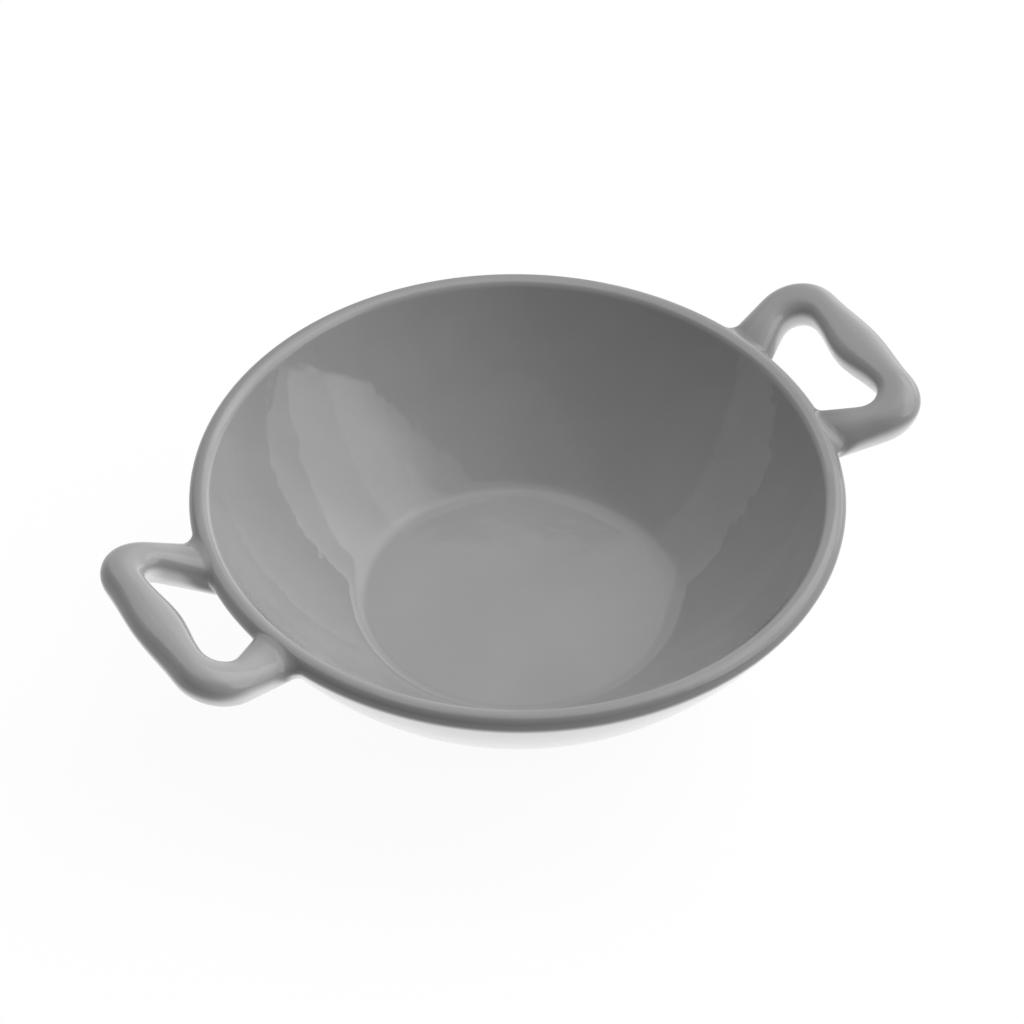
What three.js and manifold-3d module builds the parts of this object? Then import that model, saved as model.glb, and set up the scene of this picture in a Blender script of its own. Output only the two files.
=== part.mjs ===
// Lugged dish: a flared bowl with a rolled lip and a turned foot ring, two cast loop lugs opposite
// each other, and the wiped slip that lutes each leg of a lug to the bowl.
// Millimetres, +Z up. The origin is the centre of the foot on the table, and the lugs lie along X.

import * as THREE from 'three';
import { mergeVertices } from 'three/addons/utils/BufferGeometryUtils.js';
import Module from 'manifold-3d';

const wasm = await Module();
wasm.setup();

// Bowl
const rimRadius = 80;
const wallThickness = 5.7;
const wallSlope = 61.5; // degrees from level, where the wall meets the lip
const floorDepth = 38.7; // from the top of the lip
const floorRadius = 36.7; // flat part of the floor
const floorFillet = 10;
const floorThickness = 5;
const footHeight = 3; // depth of the recess inside the ring
const footOutset = 4.3; // from the edge of the flat floor to the outside of the ring
const footWidth = 4.6;
const footRound = 0.9;

// Lug, drawn in a plane that leaves the rim and rises outward
const lugTilt = 15; // degrees
const lugDrop = 4.6; // middle of the lug below the top of the lip, at the rim
const lugThickness = 9.2;
const lugReach = 24; // from the rim to the outer edge
const lugRimWidth = 52;
const lugOutWidth = 65.4;
const lugCorner = 11;
const lugCrown = 1.5; // the outer edge bows out by this in its middle
const legSink = 12; // the legs are drawn on inside the rim, then cut to the bowl

// Finger gap of the lug
const gapReach = 14.7;
const gapRimWidth = 23.4;
const gapOutWidth = 42.6;
const gapCorner = 4;
const gapCrown = -1.9; // the bar swells into the gap

// Slip joint
const slipThickness = 0.8; // layer between the end of a leg and the bowl
const slipFillet = 2.6; // radius of the wiped fillet round the leg
const slipDepth = 3; // the joint is drawn on into the bowl by this, then cut to it
const fit = 0.3; // clearance between pieces

// Facets
const bowlSteps = 72;
const wallSteps = 9;
const lipSteps = 8;
const filletSteps = 4;
const roundSteps = 2;
const legSteps = 5;
const cornerSteps = 5;
const barSteps = 6;
const sectionSteps = 16;
const jointSteps = 24;
const halvings = 40; // of the interval in which a fillet's edge is looked for

const radians = THREE.MathUtils.degToRad;
const vec2 = (x, y) => new THREE.Vector2(x, y);
const polar = (angle) => vec2(Math.cos(angle), Math.sin(angle));

// Sizes that follow from those above
const lipRadius = wallThickness / 2;
const rimHeight = floorDepth + floorThickness + footHeight;
const floorHeight = rimHeight - floorDepth;
const footRadius = floorRadius + footOutset;

// The wall's two faces and its middle are arcs about one centre. The middle arc leaves the lip at the
// wall's slope, and its radius makes the inner face run tangent into the floor's fillet.
const lipCentre = vec2(rimRadius - lipRadius, rimHeight - lipRadius);
const filletCentre = vec2(floorRadius, floorHeight + floorFillet);
const inward = polar(radians(90 + wallSlope));
const lipToFillet = filletCentre.clone().sub(lipCentre);
const bothRadii = lipRadius + floorFillet;
const wallArc = (lipToFillet.lengthSq() - bothRadii ** 2) / (2 * (inward.dot(lipToFillet) - bothRadii));
const wallCentre = lipCentre.clone().addScaledVector(inward, wallArc);
const outerArc = wallArc + lipRadius;
const lipAngle = inward.angle() - Math.PI; // outward square to the wall at the lip
const filletAngle = filletCentre.clone().sub(wallCentre).angle() - 2 * Math.PI;

function arc(centre, radius, from, to, steps) {
  const points = [];
  for (let i = 0; i <= steps; i += 1) {
    const angle = from + ((to - from) * i) / steps;
    points.push(centre.clone().addScaledVector(polar(angle), radius));
  }
  return points;
}

// Outside of the bowl from the foot up over the lip, grown by a clearance
function outerProfile(grow) {
  const radius = outerArc + grow;
  const foot = footRadius + grow;
  const footAngle = -Math.acos((foot - wallCentre.x) / radius);
  const lipTop = Math.PI / 2;
  return [
    ...arc(wallCentre, radius, footAngle, lipAngle, wallSteps),
    ...arc(lipCentre, lipRadius + grow, lipAngle, lipTop, lipSteps).slice(1),
  ];
}

function bowlProfile() {
  const down = -Math.PI / 2;
  const level = Math.PI;
  const ringInside = footRadius - footWidth;
  const insideEdge = vec2(ringInside + footRound, footRound);
  const outsideEdge = vec2(footRadius - footRound, footRound);
  const insideLip = lipAngle + Math.PI;
  return [
    vec2(0, footHeight),
    vec2(ringInside, footHeight),
    ...arc(insideEdge, footRound, -level, down, roundSteps),
    ...arc(outsideEdge, footRound, down, 0, roundSteps),
    ...outerProfile(0),
    ...arc(lipCentre, lipRadius, Math.PI / 2, insideLip, lipSteps / 2).slice(1),
    ...arc(wallCentre, wallArc - lipRadius, lipAngle, filletAngle, wallSteps).slice(1),
    ...arc(filletCentre, floorFillet, filletAngle, down, filletSteps).slice(1),
    vec2(0, floorHeight),
  ];
}

function lathe(points) {
  return new THREE.LatheGeometry(points, bowlSteps).rotateX(Math.PI / 2);
}

// The space that the bowl fills and encloses, grown by a clearance, for cutting legs and slip to it
function bowlCutter(grow) {
  const side = outerProfile(grow);
  const clear = rimHeight + lugThickness;
  return lathe([vec2(0, 0), vec2(side[0].x, 0), ...side, vec2(lipCentre.x, clear), vec2(0, clear)]);
}

// Distance from a point outside the bowl to its lip or its outer wall, and the direction away from it
function awayFromBowl(point) {
  const flat = vec2(Math.hypot(point.x, point.y), point.z);
  const fromLip = flat.clone().sub(lipCentre);
  const onLip = polar(lipAngle).cross(fromLip) > 0;
  const centre = onLip ? lipCentre : wallCentre;
  const radius = onLip ? lipRadius : outerArc;
  const away = flat.clone().sub(centre);
  const distance = away.length() - radius;
  away.normalize();
  const direction = new THREE.Vector3((away.x * point.x) / flat.x, (away.x * point.y) / flat.x, away.y);
  return { distance, direction };
}

// Outline of a lug or of its gap: along one leg, round the corner, along the bar and back down.
// x runs across the lug and y outward from the rim.
function lugOutline(rimWidth, outWidth, reach, corner, crown) {
  const tip = vec2(outWidth / 2, reach);
  const lean = (outWidth - rimWidth) / 2 / reach;
  const root = vec2(rimWidth / 2 - lean * legSink, -legSink);
  const legAngle = Math.atan2(1, lean);
  const half = (Math.PI - legAngle) / 2;
  const cut = corner * Math.tan(half);
  const legEnd = tip.clone().addScaledVector(polar(legAngle), -cut);
  const centre = vec2(tip.x - cut, reach - corner);
  const leg = [];
  for (let i = 0; i < legSteps; i += 1) leg.push(root.clone().lerp(legEnd, i / legSteps));
  const bend = arc(centre, corner, legAngle - Math.PI / 2, Math.PI / 2, cornerSteps).slice(0, -1);
  const bar = [];
  for (let i = 0; i <= barSteps; i += 1) {
    const across = 1 - i / barSteps;
    const swell = crown * Math.cos((across * Math.PI) / 2) ** 2;
    bar.push(vec2(centre.x * across, reach + swell));
  }
  const side = [...leg, ...bend, ...bar];
  const other = side.slice(0, -1).reverse().map((point) => vec2(-point.x, point.y));
  return { points: [...side, ...other], root, legEnd };
}

const outerOutline = lugOutline(lugRimWidth, lugOutWidth, lugReach, lugCorner, lugCrown);
const gapOutline = lugOutline(gapRimWidth, gapOutWidth, gapReach, gapCorner, gapCrown);

// From the lug's sketch (across, outward, up from its plane) to the dish, for the lug at +X
function placeLug(across, outward, up) {
  const tilt = radians(lugTilt);
  return new THREE.Vector3(
    rimRadius + outward * Math.cos(tilt) - up * Math.sin(tilt),
    across,
    rimHeight - lugDrop + outward * Math.sin(tilt) + up * Math.cos(tilt),
  );
}

// One point of the lug's oval section between a point of the outline and one of the gap
function sectionPoint(outer, gap, angle, grow) {
  const middle = outer.clone().add(gap).multiplyScalar(0.5);
  const across = outer.clone().sub(gap);
  const reach = across.length() / 2 + grow;
  across.normalize().multiplyScalar(reach * Math.cos(angle));
  const up = (lugThickness / 2 + grow) * Math.sin(angle);
  middle.add(across);
  return placeLug(middle.x, middle.y, up);
}

// Skin over a row of rings, closed by a fan at each end
function loft(rings) {
  const count = rings[0].length;
  const positions = [];
  const indices = [];
  rings.forEach((ring) => ring.forEach((point) => positions.push(...point.toArray())));
  for (let i = 0; i < rings.length - 1; i += 1) {
    for (let j = 0; j < count; j += 1) {
      const a = i * count + j;
      const b = i * count + ((j + 1) % count);
      indices.push(a, b, b + count, a, b + count, a + count);
    }
  }
  [rings[0], rings[rings.length - 1]].forEach((ring, end) => {
    const middle = new THREE.Vector3();
    ring.forEach((point) => middle.addScaledVector(point, 1 / count));
    const centre = positions.length / 3;
    positions.push(...middle.toArray());
    const start = end * (rings.length - 1) * count;
    for (let j = 0; j < count; j += 1) {
      const pair = [start + j, start + ((j + 1) % count)];
      if (end) indices.push(centre, ...pair);
      else indices.push(centre, pair[1], pair[0]);
    }
  });
  const geometry = new THREE.BufferGeometry();
  geometry.setAttribute('position', new THREE.Float32BufferAttribute(positions, 3));
  geometry.setIndex(indices);
  return geometry;
}

function toSolid(geometry) {
  const plain = geometry.clone();
  plain.deleteAttribute('normal');
  plain.deleteAttribute('uv');
  const merged = mergeVertices(plain);
  const index = merged.index.array;
  const triangles = [];
  for (let i = 0; i < index.length; i += 3) {
    const [a, b, c] = index.slice(i, i + 3);
    if (a !== b && b !== c && c !== a) triangles.push(a, b, c);
  }
  const vertProperties = new Float32Array(merged.attributes.position.array);
  return new wasm.Manifold(new wasm.Mesh({ numProp: 3, vertProperties, triVerts: new Uint32Array(triangles) }));
}

function toGeometry(solid) {
  const mesh = solid.getMesh();
  const geometry = new THREE.BufferGeometry();
  geometry.setAttribute('position', new THREE.Float32BufferAttribute(mesh.vertProperties, 3));
  geometry.setIndex(Array.from(mesh.triVerts));
  geometry.computeVertexNormals();
  return geometry;
}

// The lug's loop with both legs drawn on into the bowl
function lugLoop(grow) {
  const rings = outerOutline.points.map((outer, i) => {
    const ring = [];
    for (let j = 0; j < sectionSteps; j += 1) {
      const angle = (2 * Math.PI * j) / sectionSteps;
      ring.push(sectionPoint(outer, gapOutline.points[i], angle, grow));
    }
    return ring;
  });
  return toSolid(loft(rings));
}

function cutLug(grow, clearance) {
  return lugLoop(grow).subtract(toSolid(bowlCutter(clearance)));
}

// A point of the leg on one side (1 at the back, -1 at the front), and the direction out of its skin
function legPoint(along, angle, side) {
  const at = (share, turn) => {
    const outer = outerOutline.root.clone().lerp(outerOutline.legEnd, share);
    const gap = gapOutline.root.clone().lerp(gapOutline.legEnd, share);
    return sectionPoint(outer, gap, turn, 0);
  };
  const step = 1e-4;
  const point = at(along, angle);
  const onward = at(along + step, angle).sub(point);
  const round = at(along, angle + step).sub(point);
  const normal = round.cross(onward).normalize();
  if (side < 0) {
    point.y = -point.y;
    normal.y = -normal.y;
  }
  return { point, normal };
}

// The wiped fillet is the path of a ball that rolls round the leg in the corner that it makes with the
// bowl. Returns the ball's arc from the bowl to the leg at one angle of the leg's section.
function filletArc(angle, side) {
  let near = 0;
  let far = 1;
  const ball = (along) => {
    const { point, normal } = legPoint(along, angle, side);
    const centre = point.clone().addScaledVector(normal, slipFillet);
    return { normal, centre, ...awayFromBowl(centre) };
  };
  for (let i = 0; i < halvings; i += 1) {
    const middle = (near + far) / 2;
    if (ball(middle).distance < slipFillet) near = middle;
    else far = middle;
  }
  const { normal, centre, direction } = ball(far);
  const points = [];
  for (let i = 0; i <= filletSteps; i += 1) {
    const share = i / filletSteps;
    const toward = direction.clone().multiplyScalar(1 - share).addScaledVector(normal, share).normalize();
    points.push(centre.clone().addScaledVector(toward, -slipFillet));
  }
  points.unshift(points[0].clone().addScaledVector(direction, -slipDepth));
  return points;
}

function slipJoint(side) {
  const arcs = [];
  for (let j = 0; j < jointSteps; j += 1) arcs.push(filletArc((2 * Math.PI * j) / jointSteps, side));
  if (side < 0) arcs.reverse();
  const rings = arcs[0].map((_, i) => arcs.map((points) => points[i]));
  const stub = toSolid(loft(rings));
  return stub.subtract(toSolid(bowlCutter(fit))).subtract(cutLug(fit, fit + slipThickness));
}

const glaze = { color: 0x9c9c9c, roughness: 0.12, metalness: 0 };
const dish = new THREE.Group();

function addPiece(name, geometry, turn) {
  const mesh = new THREE.Mesh(geometry, new THREE.MeshStandardMaterial(glaze));
  mesh.name = name;
  mesh.rotation.z = turn;
  dish.add(mesh);
}

addPiece('bowl', lathe(bowlProfile()), 0);

const lugGeometry = toGeometry(cutLug(0, 2 * fit + slipThickness));
const backJoint = toGeometry(slipJoint(1));
const frontJoint = toGeometry(slipJoint(-1));

// The lug at -X is the same casting turned half round, so its front leg is the other one's back leg
addPiece('lug_right', lugGeometry, 0);
addPiece('slip_joint_right_front', frontJoint, 0);
addPiece('slip_joint_right_back', backJoint, 0);
addPiece('lug_left', lugGeometry.clone(), Math.PI);
addPiece('slip_joint_left_front', backJoint.clone(), Math.PI);
addPiece('slip_joint_left_back', frontJoint.clone(), Math.PI);

export default dish;
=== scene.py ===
# Lugged dish: glazed bowl, two luted loop lugs and the wiped slip at their legs, on a white table.
import math

import bpy
import numpy as np
from mathutils import Matrix, Vector


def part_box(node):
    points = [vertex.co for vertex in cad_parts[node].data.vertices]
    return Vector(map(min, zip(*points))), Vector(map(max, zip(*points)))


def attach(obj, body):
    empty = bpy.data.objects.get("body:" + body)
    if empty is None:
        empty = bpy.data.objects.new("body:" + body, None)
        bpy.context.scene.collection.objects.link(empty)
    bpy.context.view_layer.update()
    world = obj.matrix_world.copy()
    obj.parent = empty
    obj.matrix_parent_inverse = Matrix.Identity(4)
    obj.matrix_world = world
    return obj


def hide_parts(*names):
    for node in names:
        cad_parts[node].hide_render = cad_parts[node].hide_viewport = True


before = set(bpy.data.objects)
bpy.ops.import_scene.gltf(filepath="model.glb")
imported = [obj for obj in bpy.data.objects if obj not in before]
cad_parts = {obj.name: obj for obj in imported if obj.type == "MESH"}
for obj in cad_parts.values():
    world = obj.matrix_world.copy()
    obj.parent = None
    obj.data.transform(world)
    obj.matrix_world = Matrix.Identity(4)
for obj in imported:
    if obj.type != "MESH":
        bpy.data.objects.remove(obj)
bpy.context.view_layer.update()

MM = 0.001

# Bowl
_, BOWL_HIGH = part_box("bowl")
RIM_RADIUS = BOWL_HIGH[0]
RIM_HEIGHT = BOWL_HIGH[2]
WALL_THICKNESS = 5.7 * MM
WALL_SLOPE = math.radians(61.5)  # from level, where the wall meets the lip
FLOOR_DEPTH = 38.7 * MM
FLOOR_RADIUS = 36.7 * MM
FLOOR_FILLET = 10 * MM
FOOT_HEIGHT = 3 * MM
FOOT_OUTSET = 4.3 * MM
FOOT_WIDTH = 4.6 * MM
FOOT_ROUND = 0.9 * MM
BOWL_SEGMENTS = 288
# Points along each stretch of the bowl's profile
PROFILE_POINTS = dict(recess=12, corner=6, foot=8, wall=60, lip=40, fillet=24, floor=24)

# Lug
LUG_TILT = math.radians(15)
LUG_DROP = 4.6 * MM
LUG_THICKNESS = 9.2 * MM
LUG_SINK = 12 * MM  # the legs run on inside the rim by this
LUG_OUTER = dict(rim=52 * MM, out=65.4 * MM, reach=24.3 * MM, corner=11.3 * MM, crown=1.3 * MM)
LUG_GAP = dict(rim=23 * MM, out=45 * MM, reach=15.1 * MM, corner=4.4 * MM, crown=-1.9 * MM)
LUG_SQUARENESS = dict(outside=2.1, gap_top=2.7, gap_under=2.2)  # 2 is an oval section, more is squarer
LUG_SOFTNESS = 14  # smoothing passes over the outlines
SECTION_POINTS = 64
LUG_POINTS = dict(leg=60, corner=30, bar=41)  # along one half of an outline

# Wiped slip
SLIP_FILLETS = (1.6 * MM, 3.2 * MM)  # radius by the gap and outside
SLIP_TOP = 2.6 * MM  # more on top of the leg
SLIP_POINTS = 16
SLIP_OVERLAP = 1.8 * MM  # both edges run on inside the leg and the bowl by this

# Camera, as the photograph was taken
CAMERA_AZIMUTH = math.radians(-31.05)
CAMERA_ELEVATION = math.radians(43.4)
CAMERA_DISTANCE = 1.29  # from the middle of the rim
CAMERA_ROLL = math.radians(0.74)
PICTURE_SIZE = 1024
RIM_PIXEL = (517.5, 485.6)  # where the middle of the rim lies in the picture
PIXELS_PER_METRE = 4111  # at the middle of the rim
SENSOR = 36.0

# Glaze: each noise has the size of its features and its detail
GLAZE_DARK = 0.29
GLAZE_LIGHT = 0.31
PAINTED_LIGHT_BELOW = 0.86  # painted light from below, on surfaces under the dish that face down
PAINTED_LIP_SHADE = 0.23  # painted shade round the outside of the lip
GLAZE_SPECK = 0.261
CLOUDS = (30 * MM, 3)
SPECKS = (2.5 * MM, 3)
NOISE_RANGE = (0.3, 0.7)  # most of a noise lies between these
SPECK_RANGE = (0.62, 0.8)  # where a speck begins and is full
SPECK_SHARE = 0.25
LIP_SHADE_START = 0.6  # the painted shade begins inside the middle of the lip, by this share of its radius
GLAZE_IOR = 1.42
GLAZE_SMOOTH = 0.012  # roughness where the glaze is smoothest
GLAZE_ROUGH = 0.035
DULL_PATCHES = (12 * MM, 2)
WAVES = (14 * MM, 1)
WAVE_DEPTH = 0.2 * MM
RIPPLES = (5 * MM, 1)
RIPPLE_DEPTH = 0.06 * MM
SKIN_DEPTH = 0.001 * MM
LEVEL_SLOPES = (0.85, 0.99)  # upward part of the direction faced, from where the glaze levels itself
LEVEL_WAVES = 0.12  # share of the waves that stays on a level floor

# Painted light from below on surfaces that face down, where the grey ends: the upward part of the
# direction that a surface faces
PAINTED_LIGHT_SLOPES = (-0.55, 0.12)  # painted light full, and none, on the bowl
LUG_PAINTED_LIGHT_FULL = -0.2  # painted light full on the lugs
LUG_PAINTED_LIGHT_ENDS = (0.5, 0.28)  # painted light none on the lugs, by the gap and outside
LUG_PAINTED_LIGHT_SIDES = (15 * MM, 23 * MM)  # how far from the rim the gap and the outside lie
LUG_CLEAR = 8 * MM  # the limits on the bowl give way to those on the lugs this far from the rim
FOOT_PAINTED_LIGHT_HEIGHTS = (5 * MM, 7 * MM)  # painted light makes the foot lighter up to here on all sides
BARE_HEIGHTS = (0.7 * MM, 1.0 * MM)  # and is wiped bare up to here
BARE_EDGE = (9 * MM, 2)
BARE_COLOUR = (0.60, 0.58, 0.55, 1)
BARE_ROUGHNESS = 0.75

# Table and light
FLOOR_SIZE = 8.0
FLOOR_COLOUR = 0.3  # for the light that it sends on to the dish
FLOOR_SEEN = 0.95  # as it is seen and mirrored
FLOOR_WHITE = 0.92  # share of the table that is white whatever falls on it
FLOOR_ROUGHNESS = 0.9
GLOW_RADII = (0.15, 0.28)  # round the dish the table sends up light, which ends between these
GLOW_BY_FOOT = 0.4  # share of that light close to the foot
ROOM_LEVEL = 0.29

# Lights: turn from the camera and height, cosines where the light begins and is full, level, edges
SIDE_LIGHT = (116, 17, 0.5, 0.75, 2.0, ["low", "left", "under"])
BACK_LIGHT = (172, 26, 0.5, 0.73, 0.88, ["high"])
SOFTBOX = (80, 40, 0.3, 0.6, 0.6, ["near", "left", "under"])
LEFT_LIGHT = (-95, 5, 0.3, 0.7, 0.36, ["top"])
LOW_LIGHT = (150, 0, 0.82, 0.97, 0.95, [])
LIGHTS = (SIDE_LIGHT, BACK_LIGHT, SOFTBOX, LEFT_LIGHT, LOW_LIGHT)
# Straight edges: turn and height of the direction square to one, half its softness, light beyond it
LIGHT_EDGES = {
    "low": (-13.6, 54.3, 0.015, 0.45),
    "left": (155.4, 10.4, 0.008, 0),
    "under": (179.4, 43.9, 0.02, 0),
    "near": (-25, 30.9, 0.012, 0),
    "top": (-165.9, -32.8, 0.015, 0),
    "high": (0, 46.1, 0.0008, 0.35),
}

# Sizes that follow from those above
LIP_RADIUS = WALL_THICKNESS / 2
FLOOR_HEIGHT = RIM_HEIGHT - FLOOR_DEPTH
FOOT_RADIUS = FLOOR_RADIUS + FOOT_OUTSET
LIP_CENTRE = np.array([RIM_RADIUS - LIP_RADIUS, RIM_HEIGHT - LIP_RADIUS])
FILLET_CENTRE = np.array([FLOOR_RADIUS, FLOOR_HEIGHT + FLOOR_FILLET])


def polar(angle):
    return np.stack([np.cos(angle), np.sin(angle)], -1)


def wall_arc():
    """Centre and middle radius of the wall's arc, from the lip tangent into the floor's fillet."""
    inward = polar(WALL_SLOPE + math.pi / 2)
    across = FILLET_CENTRE - LIP_CENTRE
    both = LIP_RADIUS + FLOOR_FILLET
    radius = (across @ across - both ** 2) / (2 * (inward @ across - both))
    return LIP_CENTRE + inward * radius, radius


WALL_CENTRE, WALL_ARC = wall_arc()
LIP_ANGLE = WALL_SLOPE - math.pi / 2  # outward, square to the wall at the lip


def arc(centre, radius, start, end, steps):
    return np.asarray(centre) + radius * polar(np.linspace(start, end, steps + 1))


def bowl_profile():
    """Radius and height of the bowl's skin from the underside, round the foot and lip, to the floor."""
    down = -math.pi / 2
    outer = WALL_ARC + LIP_RADIUS
    foot_angle = -math.acos((FOOT_RADIUS - WALL_CENTRE[0]) / outer)
    offset = FILLET_CENTRE - WALL_CENTRE
    fillet_angle = math.atan2(offset[1], offset[0])
    ring_inside = FOOT_RADIUS - FOOT_WIDTH
    inside_edge = (ring_inside + FOOT_ROUND, FOOT_ROUND)
    outside_edge = (FOOT_RADIUS - FOOT_ROUND, FOOT_ROUND)
    points = PROFILE_POINTS
    recess = np.linspace(0, ring_inside - FOOT_ROUND, points["recess"])
    recess_corner = (ring_inside - FOOT_ROUND, FOOT_HEIGHT - FOOT_ROUND)
    floor = np.linspace(FLOOR_RADIUS, 0, points["floor"])[1:]
    return np.vstack([
        np.stack([recess, np.full_like(recess, FOOT_HEIGHT)], 1),
        arc(recess_corner, FOOT_ROUND, math.pi / 2, 0, points["corner"])[1:],
        arc(inside_edge, FOOT_ROUND, -math.pi, down, points["foot"])[1:],
        arc(outside_edge, FOOT_ROUND, down, 0, points["foot"]),
        arc(WALL_CENTRE, outer, foot_angle, LIP_ANGLE, points["wall"]),
        arc(LIP_CENTRE, LIP_RADIUS, LIP_ANGLE, LIP_ANGLE + math.pi, points["lip"])[1:],
        arc(WALL_CENTRE, WALL_ARC - LIP_RADIUS, LIP_ANGLE, fillet_angle, points["wall"])[1:],
        arc(FILLET_CENTRE, FLOOR_FILLET, fillet_angle, down, points["fillet"])[1:],
        np.stack([floor, np.full_like(floor, FLOOR_HEIGHT)], 1),
    ])


def add_mesh(name, vertices, faces, normals=None):
    mesh = bpy.data.meshes.new(name)
    mesh.from_pydata([tuple(v) for v in vertices], [], faces)
    mesh.shade_smooth()
    if normals is not None:
        mesh.normals_split_custom_set_from_vertices([tuple(n) for n in normals])
    piece = bpy.data.objects.new(name, mesh)
    bpy.context.scene.collection.objects.link(piece)
    return piece


def ring_faces(rings, count):
    """Quads over a row of rings of count points each, every ring closed on itself."""
    i, j = np.meshgrid(np.arange(rings - 1), np.arange(count), indexing="ij")
    a = i * count + j
    b = i * count + (j + 1) % count
    return np.stack([a, b, b + count, a + count], -1).reshape(-1, 4).tolist()


def revolve(name, profile, segments):
    """Skin of a profile that starts and ends on the axis."""
    middle = profile[1:-1]
    turn = np.linspace(0, 2 * math.pi, segments, endpoint=False)
    rings = np.empty((len(middle), segments, 3))
    rings[..., 0] = middle[:, :1] * np.cos(turn)
    rings[..., 1] = middle[:, :1] * np.sin(turn)
    rings[..., 2] = middle[:, 1:]
    faces = ring_faces(len(middle), segments)
    bottom = len(middle) * segments
    last = bottom - segments
    for j in range(segments):
        k = (j + 1) % segments
        faces.append([bottom, k, j])
        faces.append([bottom + 1, last + j, last + k])
    poles = [(0, 0, profile[0, 1]), (0, 0, profile[-1, 1])]
    return add_mesh(name, np.vstack([rings.reshape(-1, 3), poles]), faces)


def lug_outline(rim, out, reach, corner, crown):
    """The outside of the loop or its gap: along a leg, round the corner, along the bar and back."""
    lean = (out - rim) / 2 / reach
    root = np.array([rim / 2 - lean * LUG_SINK, -LUG_SINK])
    leg_angle = math.atan2(1, lean)
    cut = corner * math.tan((math.pi - leg_angle) / 2)
    leg_end = np.array([out / 2, reach]) - cut * polar(leg_angle)
    centre = np.array([out / 2 - cut, reach - corner])
    share = np.linspace(0, 1, LUG_POINTS["leg"], endpoint=False)
    leg = root + (leg_end - root) * share[:, None]
    bend = arc(centre, corner, leg_angle - math.pi / 2, math.pi / 2, LUG_POINTS["corner"])[:-1]
    across = np.linspace(1, 0, LUG_POINTS["bar"])
    swell = crown * np.cos(across * math.pi / 2) ** 2
    bar = np.stack([centre[0] * across, reach + swell], 1)
    side = np.vstack([leg, bend, bar])
    outline = np.vstack([side, side[-2::-1] * [-1, 1]])
    for _ in range(LUG_SOFTNESS):
        outline[1:-1] = (outline[:-2] + 2 * outline[1:-1] + outline[2:]) / 4
    return outline


def lug_rings():
    """Points of the lug at +X, one ring across the section for each step along the loop."""
    outer = lug_outline(**LUG_OUTER)
    gap = lug_outline(**LUG_GAP)
    turn = np.linspace(0, 2 * math.pi, SECTION_POINTS, endpoint=False)
    by_gap = np.where(np.sin(turn) > 0, LUG_SQUARENESS["gap_top"], LUG_SQUARENESS["gap_under"])
    power = 2 / np.where(np.cos(turn) > 0, LUG_SQUARENESS["outside"], by_gap)
    side = np.sign(np.cos(turn)) * np.abs(np.cos(turn)) ** power
    rise = np.sign(np.sin(turn)) * np.abs(np.sin(turn)) ** power * LUG_THICKNESS / 2
    flat = (outer + gap)[:, None] / 2 + side[None, :, None] * (outer - gap)[:, None] / 2
    up = np.broadcast_to(rise, flat.shape[:2])
    rings = np.empty(flat.shape[:2] + (3,))
    level, tilted = math.cos(LUG_TILT), math.sin(LUG_TILT)
    rings[..., 0] = RIM_RADIUS + flat[..., 1] * level - up * tilted
    rings[..., 1] = flat[..., 0]
    rings[..., 2] = RIM_HEIGHT - LUG_DROP + flat[..., 1] * tilted + up * level
    return rings


def trim_legs(rings):
    """The loop without what lies inside the bowl: its ends follow the middle of the wall."""
    radius = np.hypot(rings[..., 0], rings[..., 1])
    offset = np.stack([radius, rings[..., 2]], -1) - WALL_CENTRE
    length = np.linalg.norm(offset, axis=-1)
    outside = np.flatnonzero((length > WALL_ARC).any(axis=1))
    kept = slice(max(outside[0] - 1, 0), outside[-1] + 2)
    seated = WALL_CENTRE + offset * (np.maximum(length, WALL_ARC) / length)[..., None]
    spread = (seated[..., 0] / radius)[..., None] * rings[..., :2]
    return np.concatenate([spread, seated[..., 1:]], -1)[kept], kept


def ring_normals(rings):
    """Directions out of the skin at the points of the rings."""
    along = np.gradient(rings, axis=0)
    around = np.roll(rings, -1, axis=1) - np.roll(rings, 1, axis=1)
    normals = np.cross(around, along)
    return normals / np.linalg.norm(normals, axis=-1, keepdims=True)


def away_from_bowl(points):
    """Distance from points outside the bowl to its lip or outer wall, and the direction away from it."""
    radius = np.hypot(points[..., 0], points[..., 1])
    flat = np.stack([radius, points[..., 2]], -1)
    from_lip = flat - LIP_CENTRE
    square = polar(LIP_ANGLE)
    on_lip = square[0] * from_lip[..., 1] - square[1] * from_lip[..., 0] > 0
    away = np.where(on_lip[..., None], from_lip, flat - WALL_CENTRE)
    length = np.linalg.norm(away, axis=-1)
    distance = length - np.where(on_lip, LIP_RADIUS, WALL_ARC + LIP_RADIUS)
    away = away / length[..., None]
    spread = away[..., :1] * points[..., :2] / radius[..., None]
    return distance, np.concatenate([spread, away[..., 1:]], -1)


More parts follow.
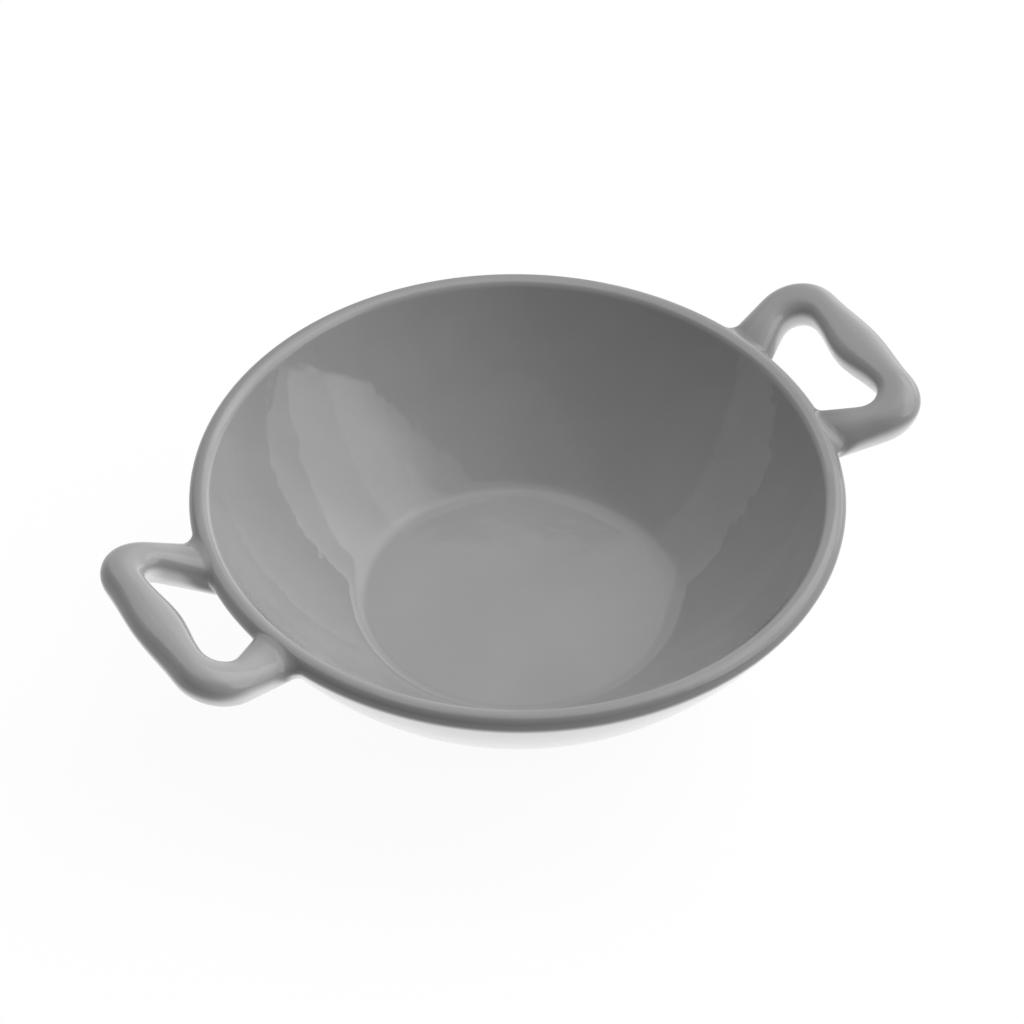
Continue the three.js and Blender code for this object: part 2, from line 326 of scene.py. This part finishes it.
def slip_rings(rings, normals):
    """Rings of the wiped fillet round the first leg, the path of a ball that rolls in the corner between
    leg and bowl, with one more ring inside the bowl and one inside the leg."""
    leg = len(rings) // 2
    turn = np.linspace(0, 2 * math.pi, rings.shape[1], endpoint=False)
    ball = np.interp(np.cos(turn), [-1, 1], SLIP_FILLETS)
    ball = ball + SLIP_TOP * np.maximum(np.sin(turn), 0) ** 2
    reach = ball[:, None]
    distance, _ = away_from_bowl(rings[:leg] + reach * normals[:leg])
    clear = leg - np.argmax((distance < ball)[::-1], axis=0)
    column = np.arange(rings.shape[1])
    below = distance[clear - 1, column]
    share = ((ball - below) / (distance[clear, column] - below))[:, None]

    def where_it_fits(grid):
        return grid[clear - 1, column] * (1 - share) + grid[clear, column] * share

    normal = where_it_fits(normals)
    normal /= np.linalg.norm(normal, axis=-1, keepdims=True)
    centre = where_it_fits(rings) + reach * normal
    _, direction = away_from_bowl(centre)
    path = [centre - (reach + SLIP_OVERLAP) * direction]
    bent = [direction]
    for step in np.linspace(0, 1, SLIP_POINTS):
        square = direction * (1 - step) + normal * step
        square /= np.linalg.norm(square, axis=-1, keepdims=True)
        path.append(centre - reach * square)
        bent.append(square)
    path.append(centre - (reach + SLIP_OVERLAP) * normal)
    bent.append(normal)
    return np.stack(path), np.stack(bent)


def add_lug(name, rings, normals, turned):
    """The loop, closed at both ends."""
    count = rings.shape[1]
    faces = ring_faces(len(rings), count)
    faces.append(list(range(count))[::-1])
    faces.append([(len(rings) - 1) * count + j for j in range(count)])
    return add_mesh(name, turn_round(rings, turned), faces, turn_round(normals, turned))


def add_slip(name, rings, normals, turned, mirrored):
    """A fillet round one leg, mirrored for the other leg, its last ring joined to its first."""
    flip = [1, -1, 1] if mirrored else [1, 1, 1]
    count = rings.shape[1]
    faces = ring_faces(len(rings), count)
    last = (len(rings) - 1) * count
    faces += [[last + j, last + (j + 1) % count, (j + 1) % count, j] for j in range(count)]
    if mirrored:
        faces = [face[::-1] for face in faces]
    return add_mesh(name, turn_round(rings * flip, turned), faces, turn_round(normals * flip, turned))


def turn_round(points, turned):
    """Points or directions as a list, turned half round the dish for the left side."""
    return points.reshape(-1, 3) * ([-1, -1, 1] if turned else [1, 1, 1])


def add_node(tree, kind, inputs=None, **settings):
    """A shader node with its settings, and its inputs set or linked by name or number."""
    made = tree.nodes.new("ShaderNode" + kind)
    for key, value in settings.items():
        setattr(made, key, value)
    for key, value in (inputs or {}).items():
        if isinstance(value, bpy.types.NodeSocket):
            tree.links.new(value, made.inputs[key])
        else:
            made.inputs[key].default_value = value
    return made


def calculate(tree, operation, *values):
    return add_node(tree, "Math", dict(enumerate(values)), operation=operation).outputs[0]


def ease(tree, value, low, high, start=0.0, end=1.0):
    """Smooth step of a value from start, at low, to end, at high."""
    limits = {"Value": value, "From Min": low, "From Max": high, "To Min": start, "To Max": end}
    return add_node(tree, "MapRange", limits, interpolation_type="SMOOTHSTEP").outputs["Result"]


def noise(tree, place, size, detail):
    """Smooth noise from 0 to 1 with features of about the given size in metres."""
    inputs = {"Vector": place, "Scale": 1 / size, "Detail": detail, "Roughness": 0.5}
    return add_node(tree, "TexNoise", inputs).outputs["Fac"]


def mix_colour(tree, share, first, second):
    """Mix of two colours. The Mix node takes colours on its inputs 6 and 7 and gives one on output 2."""
    inputs = {0: share, 6: first, 7: second}
    return add_node(tree, "Mix", inputs, data_type="RGBA", clamp_factor=True).outputs[2]


def grey(level):
    return (level, level, level, 1)


def bump(tree, height, depth, below=None):
    """Normal bent by a height from 0 to 1 times a depth, on top of another bend."""
    inputs = {"Height": height, "Distance": depth, "Strength": 1.0}
    if below is not None:
        inputs["Normal"] = below
    return add_node(tree, "Bump", inputs).outputs["Normal"]


def axis_distance(tree, place):
    """Distance from the middle line of the dish."""
    flat = add_node(tree, "VectorMath", {0: place, 1: (1, 1, 0)}, operation="MULTIPLY").outputs[0]
    return add_node(tree, "VectorMath", {0: flat}, operation="LENGTH").outputs["Value"]


def glaze(name, bare_foot=False):
    """Glossy glaze, cloudy and a little wavy, with painted light: lighter where a surface faces down, and
    painted shade round the outside of the lip.
    """
    material = bpy.data.materials.new(name)
    material.use_nodes = True
    tree = material.node_tree
    shader = tree.nodes["Principled BSDF"]
    coordinates = add_node(tree, "TexCoord").outputs
    place = coordinates["Object"]
    radius = axis_distance(tree, place)
    height = add_node(tree, "SeparateXYZ", {0: place}).outputs["Z"]
    upward = add_node(tree, "SeparateXYZ", {0: coordinates["Normal"]}).outputs["Z"]
    outside = ease(tree, radius, RIM_RADIUS, RIM_RADIUS + LUG_CLEAR)

    cloud = ease(tree, noise(tree, place, *CLOUDS), *NOISE_RANGE)
    colour = mix_colour(tree, cloud, grey(GLAZE_DARK), grey(GLAZE_LIGHT))
    fine = noise(tree, place, *SPECKS)
    speck = ease(tree, fine, *SPECK_RANGE, 0, SPECK_SHARE)
    colour = mix_colour(tree, speck, colour, grey(GLAZE_SPECK))
    # Painted shade round the outside of the lip, not on the lugs
    lip = ease(tree, radius, LIP_CENTRE[0] - LIP_SHADE_START * LIP_RADIUS, RIM_RADIUS)
    lip = calculate(tree, "SUBTRACT", lip, outside)
    colour = mix_colour(tree, lip, colour, grey(PAINTED_LIP_SHADE))

    # Painted light from below: lighter where a surface faces down, with other limits on the lugs by the
    # gap and outside, and on the foot all round
    lug_light_sides = [RIM_RADIUS + side for side in LUG_PAINTED_LIGHT_SIDES]
    lug_light_end = ease(tree, radius, *lug_light_sides, *LUG_PAINTED_LIGHT_ENDS)
    light_end = ease(tree, outside, 0, 1, PAINTED_LIGHT_SLOPES[1], lug_light_end)
    light_full = ease(tree, outside, 0, 1, PAINTED_LIGHT_SLOPES[0], LUG_PAINTED_LIGHT_FULL)
    painted_light = ease(tree, upward, light_full, light_end, 1, 0)
    foot = ease(tree, height, *FOOT_PAINTED_LIGHT_HEIGHTS, 1, 0)
    painted_light = calculate(tree, "MAXIMUM", foot, painted_light)
    colour = mix_colour(tree, painted_light, colour, grey(PAINTED_LIGHT_BELOW))

    dull = noise(tree, place, *DULL_PATCHES)
    rough = ease(tree, dull, *NOISE_RANGE, GLAZE_SMOOTH, GLAZE_ROUGH)
    if bare_foot:
        edge = calculate(tree, "MULTIPLY", noise(tree, place, *BARE_EDGE), BARE_HEIGHTS[0])
        bare = ease(tree, calculate(tree, "ADD", height, edge), *BARE_HEIGHTS, 1, 0)
        colour = mix_colour(tree, bare, colour, BARE_COLOUR)
        rough = ease(tree, bare, 0, 1, rough, BARE_ROUGHNESS)

    flow = ease(tree, upward, *LEVEL_SLOPES, 1, LEVEL_WAVES)
    waves = calculate(tree, "MULTIPLY", noise(tree, place, *WAVES), flow)
    ripples = calculate(tree, "MULTIPLY", noise(tree, place, *RIPPLES), flow)
    bent = bump(tree, waves, WAVE_DEPTH)
    bent = bump(tree, ripples, RIPPLE_DEPTH, bent)
    bent = bump(tree, fine, SKIN_DEPTH, bent)

    tree.links.new(colour, shader.inputs["Base Color"])
    tree.links.new(rough, shader.inputs["Roughness"])
    tree.links.new(bent, shader.inputs["Normal"])
    shader.inputs["IOR"].default_value = GLAZE_IOR
    return material


def dress(piece, node, material):
    piece.data.materials.append(material)
    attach(piece, "root")
    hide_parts(node)


def add_dish():
    bowl = revolve("bowl_body", bowl_profile(), BOWL_SEGMENTS)
    dress(bowl, "bowl", glaze("bowl_glaze", bare_foot=True))
    rings = lug_rings()
    normals = ring_normals(rings)
    slip, slip_normals = slip_rings(rings, normals)
    loop, kept = trim_legs(rings)
    lug_glaze = glaze("lug_glaze")
    slip_glaze = glaze("slip_glaze")
    for side, turned in (("right", False), ("left", True)):
        lug = add_lug("lug_loop_" + side, loop, normals[kept], turned)
        dress(lug, "lug_" + side, lug_glaze)
        for leg, mirrored in (("back", turned), ("front", not turned)):
            fillet = add_slip("slip_fillet_" + side + "_" + leg, slip, slip_normals, turned, mirrored)
            dress(fillet, "slip_joint_" + side + "_" + leg, slip_glaze)


def add_floor():
    """A table that is seen and mirrored as white, with a share left to the light for the shadow."""
    bpy.ops.mesh.primitive_plane_add(size=FLOOR_SIZE)
    floor = bpy.context.object
    floor.name = "table"
    material = bpy.data.materials.new("table")
    material.use_nodes = True
    tree = material.node_tree
    shader = tree.nodes["Principled BSDF"]
    shader.inputs["Roughness"].default_value = FLOOR_ROUGHNESS
    shader.inputs["Specular IOR Level"].default_value = 0.0
    white = add_node(tree, "Emission", {"Color": grey(1.0), "Strength": 1.0}).outputs[0]
    path = add_node(tree, "LightPath").outputs
    seen = calculate(tree, "MAXIMUM", path["Is Camera Ray"], path["Is Glossy Ray"])
    seen = calculate(tree, "MAXIMUM", seen, path["Is Transmission Ray"])
    colour = mix_colour(tree, seen, grey(FLOOR_COLOUR), grey(FLOOR_SEEN))
    tree.links.new(colour, shader.inputs["Base Color"])
    place = add_node(tree, "TexCoord").outputs["Object"]
    radius = add_node(tree, "VectorMath", {0: place}, operation="LENGTH").outputs["Value"]
    glow = ease(tree, radius, *GLOW_RADII, 1, 0)
    by_foot = ease(tree, radius, FOOT_RADIUS, RIM_RADIUS, GLOW_BY_FOOT, 1)
    glow = calculate(tree, "MULTIPLY", glow, by_foot)
    share = ease(tree, seen, 0, 1, glow, FLOOR_WHITE)
    mixed = add_node(tree, "MixShader", {0: share, 1: shader.outputs[0], 2: white}).outputs[0]
    tree.links.new(mixed, tree.nodes["Material Output"].inputs["Surface"])
    material.cycles.emission_sampling = "NONE"
    floor.data.materials.append(material)


def add_camera():
    data = bpy.data.cameras.new("camera")
    data.sensor_width = SENSOR
    data.lens = PIXELS_PER_METRE * CAMERA_DISTANCE * SENSOR / PICTURE_SIZE
    camera = bpy.data.objects.new("camera", data)
    bpy.context.scene.collection.objects.link(camera)
    level = math.cos(CAMERA_ELEVATION)
    sine, cosine = math.sin(CAMERA_AZIMUTH), math.cos(CAMERA_AZIMUTH)
    back = Vector((sine * level, -cosine * level, math.sin(CAMERA_ELEVATION)))
    right = Vector((cosine, sine, 0))
    up = back.cross(right)
    rim = Vector((0, 0, RIM_HEIGHT))
    place = rim + back * CAMERA_DISTANCE
    middle = PICTURE_SIZE / 2
    aim = rim + (right * (middle - RIM_PIXEL[0]) - up * (middle - RIM_PIXEL[1])) / PIXELS_PER_METRE
    backward = (place - aim).normalized()
    side = up.cross(backward).normalized()
    turn = Matrix((side, backward.cross(side), backward)).transposed().to_4x4()
    camera.matrix_world = Matrix.Translation(place) @ turn @ Matrix.Rotation(CAMERA_ROLL, 4, "Z")
    bpy.context.scene.camera = camera


def toward(turn, height):
    """Direction at an angle round from the camera, to its right, and at a height, both in degrees."""
    azimuth = CAMERA_AZIMUTH + math.radians(turn)
    rise = math.radians(height)
    level = math.cos(rise)
    return Vector((math.sin(azimuth) * level, -math.cos(azimuth) * level, math.sin(rise)))


def facing(tree, place, turn, height):
    """Cosine between the direction looked in and a fixed one."""
    inputs = {0: place, 1: toward(turn, height)}
    return add_node(tree, "VectorMath", inputs, operation="DOT_PRODUCT").outputs["Value"]


def add_light():
    """A dim room with broad soft lights on the right, the back and the left, some with straight edges."""
    world = bpy.data.worlds.new("studio")
    world.use_nodes = True
    tree = world.node_tree
    place = add_node(tree, "TexCoord").outputs["Generated"]
    strength = ROOM_LEVEL
    for turn, height, begin, full, level, edges in LIGHTS:
        light = ease(tree, facing(tree, place, turn, height), begin, full, 0, level)
        for edge in edges:
            turn, height, softness, beyond = LIGHT_EDGES[edge]
            inside = ease(tree, facing(tree, place, turn, height), -softness, softness, beyond, 1)
            light = calculate(tree, "MULTIPLY", light, inside)
        strength = calculate(tree, "ADD", strength, light)
    background = tree.nodes["Background"]
    background.inputs["Color"].default_value = grey(1.0)
    tree.links.new(strength, background.inputs["Strength"])
    bpy.context.scene.world = world


add_dish()
add_floor()
add_camera()
add_light()
bpy.context.scene.view_settings.view_transform = "Standard"
